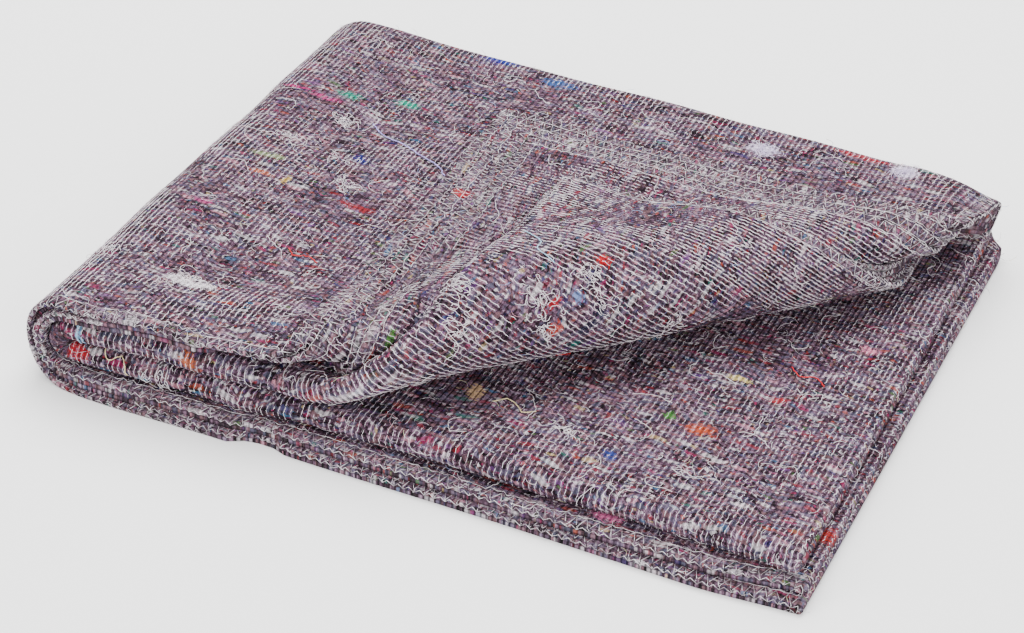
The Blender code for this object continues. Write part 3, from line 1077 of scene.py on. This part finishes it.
STITCH_POINTS = 3
STITCH_SINK = 0.00017   # how deep the thread lies where the needle took it down
STITCH_LIE = 0.00005    # and how deep between
STITCH_UNEVEN = 0.00007
ROW_DRIFT = 0.00016     # how far a row lies off its place
ROW_WAVE = 0.00022      # how far it waves along its length
BURIED = 0.00022        # how much deeper the threads lie in patches
TIGHTEST = 0.0011       # no stitches where 2 mm of felt is squeezed into less than this
OVERLOCK_UNEVEN = (0.00050, 0.00060)    # how uneven the overlock is along the edge and into it
OVERLOCK_LIFT = 0.00008
SKIN_LIFT = 0.0001      # how far over the felt the loose fibres start
LOOSE_THREAD = 0.00014
LOOSE_OVER = 0.00035    # how far the middle of a loose thread lies over the felt, at least
LOOSE_UNEVEN = 0.0003
TUFT_THREADS = 2.4      # threads in a tuft, times how full it is
LAID_WAVE = 0.00025
WANDER = 0.42           # how much a loose thread turns from step to step
STRAYS = 1500           # loose threads over the whole sheet, most of them folded out of sight


def patches(u, v):
    """1 in patches of the sheet and 0 between them, with none near the front right corner."""
    patch = np.sin(u * 61.0 + 2.1 * np.sin(v * 23.0))
    patch = patch + np.sin(v * 47.0 + 1.7 * np.sin(u * 31.0 + 1.0))
    patch = patch + 0.5 * np.sin(u * 310.0 + 4.0 * np.sin(v * 170.0))
    patch = patch - 1.8 * np.exp(-(((u - 0.91) / 0.10) ** 2) - ((v - 0.68) / 0.06) ** 2)
    return smooth((patch - 0.5) / 1.0)


def stitch_rows(view, face, chance):
    """The rows of stitches on one face of the felt, where it shows."""
    rows = np.arange(ROW_PITCH / 2, FLAT_WIDTH, ROW_PITCH)
    steps = np.arange(0.002, FLAT_LENGTH - 0.002, STITCH / STITCH_POINTS)
    u = np.repeat(rows, len(steps))
    v = np.tile(steps, len(rows))
    phase = np.tile(np.arange(len(steps)) % STITCH_POINTS / STITCH_POINTS, len(rows))
    seen = at_grid(view, u, v) > 0.0
    from_edge = np.minimum(np.minimum(u, FLAT_WIDTH - u), np.minimum(v, FLAT_LENGTH - v))
    number = np.flatnonzero(seen & (from_edge > 0.9 * OVERLOCK_REACH))
    joined = np.append(np.diff(number) == 1, False) & (u[number] == np.append(u[number][1:], -1.0))
    u, v, phase = u[number], v[number], phase[number]
    row = np.round(u / ROW_PITCH - 0.5).astype(int)
    drift = chance.normal(0.0, ROW_DRIFT, len(rows))[row]
    drift = drift + ROW_WAVE * np.sin(v * 95.0 + row * 1.9)
    swing = np.sin(2 * math.pi * phase) + 0.4 * np.sin(4 * math.pi * phase + 0.6)
    swing = swing * ROW_SWING * chance.uniform(0.6, 1.3, len(u))
    dip = np.where(phase < 0.01, -STITCH_SINK, -STITCH_LIE)
    dip = dip + chance.normal(0.0, STITCH_UNEVEN, len(u))
    dip = dip - BURIED * patches(u, v)
    points, _ = placed(u + drift + swing, v, FACES[face] * (SHEET / 2 + dip))
    squeezed = np.linalg.norm(folded(u + 0.001, v) - folded(u - 0.001, v), axis=1) < TIGHTEST
    return points, joined & ~squeezed


def overlock_lines(view, chance):
    """The overlock sewing over the sheet's four edges, where it shows."""
    runs = (
        ("v", 0.0, 1.0, FLAT_WIDTH),
        ("v", FLAT_LENGTH, -1.0, FLAT_WIDTH),
        ("u", 0.0, 1.0, FLAT_LENGTH),
        ("u", FLAT_WIDTH, -1.0, FLAT_LENGTH),
    )
    # Each shape's points: how far along a stitch, how deep in from the edge, and which face.
    shapes = [((0.0, -0.04, -0.9), (0.5, -0.04, 0.9))]
    for face in (-1.0, 1.0):
        legs = ((0.0, 1.0, face), (0.42, 0.10, face), (0.5, -0.09, 0.0), (0.58, 0.10, face))
        needle_line = ((0.0, 1.02, face), (0.5, 0.94, face))
        shapes += [legs, needle_line]
    lines = []
    for runs_at, edge, inward, length in runs:
        count = int(length / OVERLOCK_PITCH)
        stitch = np.arange(count)
        for shape in shapes:
            part = np.tile(np.arange(len(shape)), count)
            at = (np.repeat(stitch, len(shape)) + np.array([s[0] for s in shape])[part])
            deep = np.array([s[1] for s in shape])[part] * OVERLOCK_REACH
            face = np.array([s[2] for s in shape])[part]
            s = at * OVERLOCK_PITCH + chance.normal(0.0, OVERLOCK_UNEVEN[0], len(at))
            s = np.clip(s, 0.0005, length - 0.0005)
            deep = deep + chance.normal(0.0, OVERLOCK_UNEVEN[1], len(at)) * (deep > 0.0)
            from_edge = edge + inward * deep
            u, v = (s, from_edge) if runs_at == "v" else (from_edge, s)
            lift = face * (SHEET / 2 + OVERLOCK_LIFT)
            points, _ = placed(u, v, lift)
            near_u = np.clip(u, 0.0, FLAT_WIDTH)
            near_v = np.clip(v, 0.0, FLAT_LENGTH)
            seen = at_grid(view, near_u, near_v) > 0.0
            lines.append((points, seen))
    points = np.concatenate([p for p, _ in lines])
    seen = np.concatenate([s for _, s in lines])
    ends = np.cumsum([len(p) for p, _ in lines]) - 1
    joined = np.append(seen[:-1] & seen[1:], False)
    joined[ends] = False
    return only_joined(points, joined)


def only_joined(points, joined):
    """The points that a join reaches, and their joins."""
    used = joined | np.append(False, joined[:-1])
    return points[used], joined[used]


def smooth_path(stops, step):
    """Points a step apart on a smooth curve through the stops."""
    stops = np.array(stops)
    ends = np.vstack([2 * stops[0] - stops[1], stops, 2 * stops[-1] - stops[-2]])
    path = []
    for a, b, c, d in zip(ends, ends[1:], ends[2:], ends[3:]):
        count = max(2, int(np.linalg.norm(c - b) / step))
        t = np.linspace(0.0, 1.0, count, endpoint=False)[:, None]
        path.append(((2 * b) + (c - a) * t + (2 * a - 5 * b + 4 * c - d) * t ** 2
                     + (3 * b - a - 3 * c + d) * t ** 3) / 2)
    return np.vstack(path + [stops[-1:]])


def wandering(start_u, start_v, heading, curl, chance, steps, step):
    """Threads that wander over the sheet from their starts: a row of places for each thread."""
    u, v = [start_u], [start_v]
    for _ in range(steps - 1):
        heading = heading + curl + chance.normal(0.0, WANDER, len(start_u))
        u.append(u[-1] + step * np.cos(heading))
        v.append(v[-1] + step * np.sin(heading))
    return np.stack(u, axis=1), np.stack(v, axis=1)


def raised_line(u, v, view, chance, rise):
    """Threads on the outer face, each row of u and v one thread, cut where they don't show."""
    count, steps = u.shape
    flat_u, flat_v = inside(u, v)
    arch = np.sin(np.linspace(0.0, math.pi, steps))[None, :] * chance.uniform(0.0, rise, (count, 1))
    over = LOOSE_OVER + arch.ravel() + chance.uniform(0.0, LOOSE_UNEVEN, count * steps)
    points, _ = placed(flat_u, flat_v, -(SHEET / 2 + over))
    seen = at_grid(view, flat_u, flat_v) > 1.0
    joined = seen & np.append(seen[1:], False)
    joined[steps - 1::steps] = False
    return only_joined(points, joined)


def loose_threads(start_u, start_v, view, chance, astray, curl, steps, step, rise):
    """Threads that set out across the rows, one way or the other, and wander."""
    count = len(start_u)
    heading = np.where(chance.random(count) < 0.5, 0.0, math.pi)
    heading = heading + chance.normal(0.0, astray, count)
    curls = chance.normal(0.0, curl, count)
    u, v = wandering(start_u, start_v, heading, curls, chance, steps, step)
    return raised_line(u, v, view, chance, rise)


def tuft_threads(tufts, view, chance):
    """The curled threads of all the tufts."""
    fullness = [int(TUFT_THREADS * tuft[4]) for tuft in tufts]
    rows = np.repeat(np.array(tufts), fullness, axis=0)
    count = len(rows)
    start_u = rows[:, 0] + chance.normal(0.0, 0.5, count) * rows[:, 2]
    start_v = rows[:, 1] + chance.normal(0.0, 0.5, count) * rows[:, 3]
    return loose_threads(
        start_u, start_v, view, chance, astray=0.6, curl=0.30, steps=13, step=0.0008, rise=0.0022)


def stray_threads(number, view, chance):
    """Pale threads astray all over the felt, mostly lying across the rows."""
    start_u = chance.uniform(0.0, FLAT_WIDTH, number)
    start_v = chance.uniform(0.0, FLAT_LENGTH, number)
    kept = at_grid(view, start_u, start_v) > 2.0
    return loose_threads(
        start_u[kept], start_v[kept], view, chance, astray=0.45, curl=0.10, steps=18, step=0.0015,
        rise=0.0012)


def laid_thread(stops, view, chance):
    path = smooth_path(stops, step=0.0012)
    wave = chance.normal(0.0, LAID_WAVE, path.shape)
    u, v = (path + wave).T
    return raised_line(u[None, :], v[None, :], view, chance, rise=0.0006)


def skin_mesh(view, face):
    """The cells of one face of the felt that show, for the loose fibres to lie on."""
    shown, across, along = view
    u, v = np.meshgrid(across, along)
    lift = np.full(u.size, FACES[face] * (SHEET / 2 + SKIN_LIFT))
    points, _ = placed(u.ravel(), v.ravel(), lift)
    cells = shown[:-1, :-1] + shown[1:, :-1] + shown[:-1, 1:] + shown[1:, 1:] > 0.0
    row, column = np.nonzero(cells)
    first = row * len(across) + column
    ring = [first, first + 1, first + len(across) + 1, first + len(across)]
    if face == "outer":
        ring = ring[::-1]
    faces = np.stack(ring, axis=1)
    used = np.unique(faces)
    data = bpy.data.meshes.new("skin")
    data.from_pydata(points[used].tolist(), [], np.searchsorted(used, faces).tolist())
    return data


def main():
    across, along = sheet_grid()
    felt = felt_material()
    sheet = cloth_object()
    sheet.data.materials.clear()
    sheet.data.materials.append(felt)
    tree = tree_of(sheet)
    shown = cloth_sides(across, along, tree)
    shown = {face: spread_out(values) for face, values in shown.items()}
    shown["both"] = np.maximum(shown["outer"], shown["inner"])
    views = {face: (values, across, along) for face, values in shown.items()}
    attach(sheet, "root")
    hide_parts("blanket")

    chance = np.random.default_rng(11)
    stitch_yarn = yarn_material("stitch_yarn", (0.97, 0.92, 0.955), (0.60, 0.50, 0.565), 0.56)
    edge_yarn = yarn_material("overlock_yarn", (0.88, 0.83, 0.86), (0.34, 0.29, 0.32), 0.52)
    sweep = yarn_tree()
    sewn = []
    for face in FACES:
        points, joined = stitch_rows(views[face], face, chance)
        sewn += yarn_pieces(f"stitches_{face}", points, joined, THREAD, 3, stitch_yarn, sweep)
    points, joined = overlock_lines(views["both"], chance)
    sewn += yarn_pieces("overlock", points, joined, OVERLOCK_THREAD, 3, edge_yarn, sweep)

    pale_yarn = yarn_material("pale_thread", (0.92, 0.87, 0.90), (0.66, 0.58, 0.62), 0.55)
    lilac_yarn = yarn_material("lilac_thread", (0.82, 0.74, 0.90), (0.62, 0.52, 0.74), 0.50)
    both_tufts = (("pale_tufts", PALE_TUFTS, pale_yarn), ("lilac_tufts", LILAC_TUFTS, lilac_yarn))
    for name, tufts, yarn in both_tufts:
        points, joined = tuft_threads(tufts, views["outer"], chance)
        sewn += yarn_pieces(name, points, joined, LOOSE_THREAD, 3, yarn, sweep)
    points, joined = stray_threads(STRAYS, views["outer"], chance)
    sewn += yarn_pieces("stray_threads", points, joined, LOOSE_THREAD, 3, pale_yarn, sweep)
    for name, (radius, dye, threads) in LAID_THREADS.items():
        deep = tuple(0.6 * part for part in dye)
        yarn = yarn_material(f"{name}_thread", dye, deep, 0.5)
        laid = [laid_thread(stops, views["outer"], chance) for stops in threads]
        points = np.concatenate([p for p, _ in laid])
        joined = np.concatenate([j for _, j in laid])
        sewn += yarn_pieces(f"{name}_threads", points, joined, radius, 5, yarn, sweep)

    white_fibre = fibre_material("pale_fibres", (
        (0.0, (0.75, 0.70, 0.74)), (0.45, (0.48, 0.42, 0.46)), (0.72, (0.20, 0.16, 0.19)),
        (0.86, (0.60, 0.30, 0.36)), (0.91, (0.30, 0.36, 0.60)), (0.95, (0.66, 0.60, 0.40))))
    scatter = fuzz_tree()
    fuzz = (
        ("short_fibres", "outer", 6500.0, 0.0060, 0.00010, 0.45, 3),
        ("long_fibres", "outer", 1500.0, 0.0110, 0.00011, 0.65, 8),
        ("inner_fibres", "inner", 12000.0, 0.0060, 0.00010, 0.45, 5),
    )
    for name, face, density, length, radius, curl, seed in fuzz:
        values = {
            "Fibres per square metre": density, "Fibre length": length, "Fibre radius": radius,
            "Curl": curl, "Seed": seed, "Fibre": white_fibre}
        skin = skin_mesh(views[face], face)
        sewn.append(grown(name, skin, scatter, values))


def studio():
    """Pale floor, soft light and the camera."""
    floor_paint = Paint("pale_floor")
    grain = floor_paint.grain(floor_paint.object_place(), 3.0, 2.0, 0.5, "3D")
    colour = floor_paint.mixed(grain * 0.2, (0.90, 0.90, 0.90, 1.0), (0.87, 0.87, 0.87, 1.0))
    floor_paint.finish(Base_Color=colour, Roughness=0.85)
    mesh = bmesh.new()
    bmesh.ops.create_grid(mesh, x_segments=1, y_segments=1, size=6.0)
    data = bpy.data.meshes.new("floor")
    mesh.to_mesh(data)
    mesh.free()
    data.materials.append(floor_paint.material)
    floor = link(bpy.data.objects.new("floor", data))

    lights = (
        ("overhead", (-0.3, 0.9, 2.2), (0.0, 0.0, 0.0), 2.2, 132.0),
        ("front_left", (-1.9, -1.6, 1.5), (0.0, 0.0, 0.0), 1.6, 52.0),
        ("front_right", (1.8, -1.5, 1.1), (0.0, 0.0, 0.0), 1.8, 60.0),
    )
    for name, at, towards, size, power in lights:
        lamp = bpy.data.lights.new(name, "AREA")
        lamp.shape = "DISK"
        lamp.size = size
        lamp.energy = power
        light = link(bpy.data.objects.new(name, lamp))
        light.location = at
        light.rotation_euler = (Vector(towards) - Vector(at)).to_track_quat("-Z", "Y").to_euler()
    world = bpy.data.worlds.new("white room")
    bpy.context.scene.world = world
    world.use_nodes = True
    sky = world.node_tree.nodes["Background"]
    sky.inputs[0].default_value = (1.0, 1.0, 1.0, 1.0)
    sky.inputs[1].default_value = 1.15

    # How far the camera is turned to the right of the bundle's front, raised and tilted.
    turn, height, tilt = math.radians(24.23), math.radians(35.75), math.radians(1.77)
    grown_by = 1.0388   # from the size that the camera was first worked out for to the real one
    right = Vector((math.cos(turn), math.sin(turn), 0.0))
    level = math.cos(height)
    back = Vector((math.sin(turn) * level, -math.cos(turn) * level, math.sin(height)))
    up = back.cross(right)
    side = right * math.cos(tilt) + up * math.sin(tilt)
    rise = up * math.cos(tilt) - right * math.sin(tilt)
    away, aside, below = 1.507, 0.0145, 0.0030      # how far the camera is off the middle
    eye = (back * away - side * aside - rise * below) * grown_by + Vector(CENTRE)
    view = bpy.data.cameras.new("camera")
    view.sensor_width = 36.0
    view.lens = 2500.0 / 1024.0 * 36.0      # 2500 pixels, at 1024 pixels across
    camera = link(bpy.data.objects.new("camera", view))
    camera.matrix_world = Matrix((
        (side.x, rise.x, back.x, eye.x), (side.y, rise.y, back.y, eye.y),
        (side.z, rise.z, back.z, eye.z), (0.0, 0.0, 0.0, 1.0)))
    bpy.context.scene.camera = camera


main()
studio()
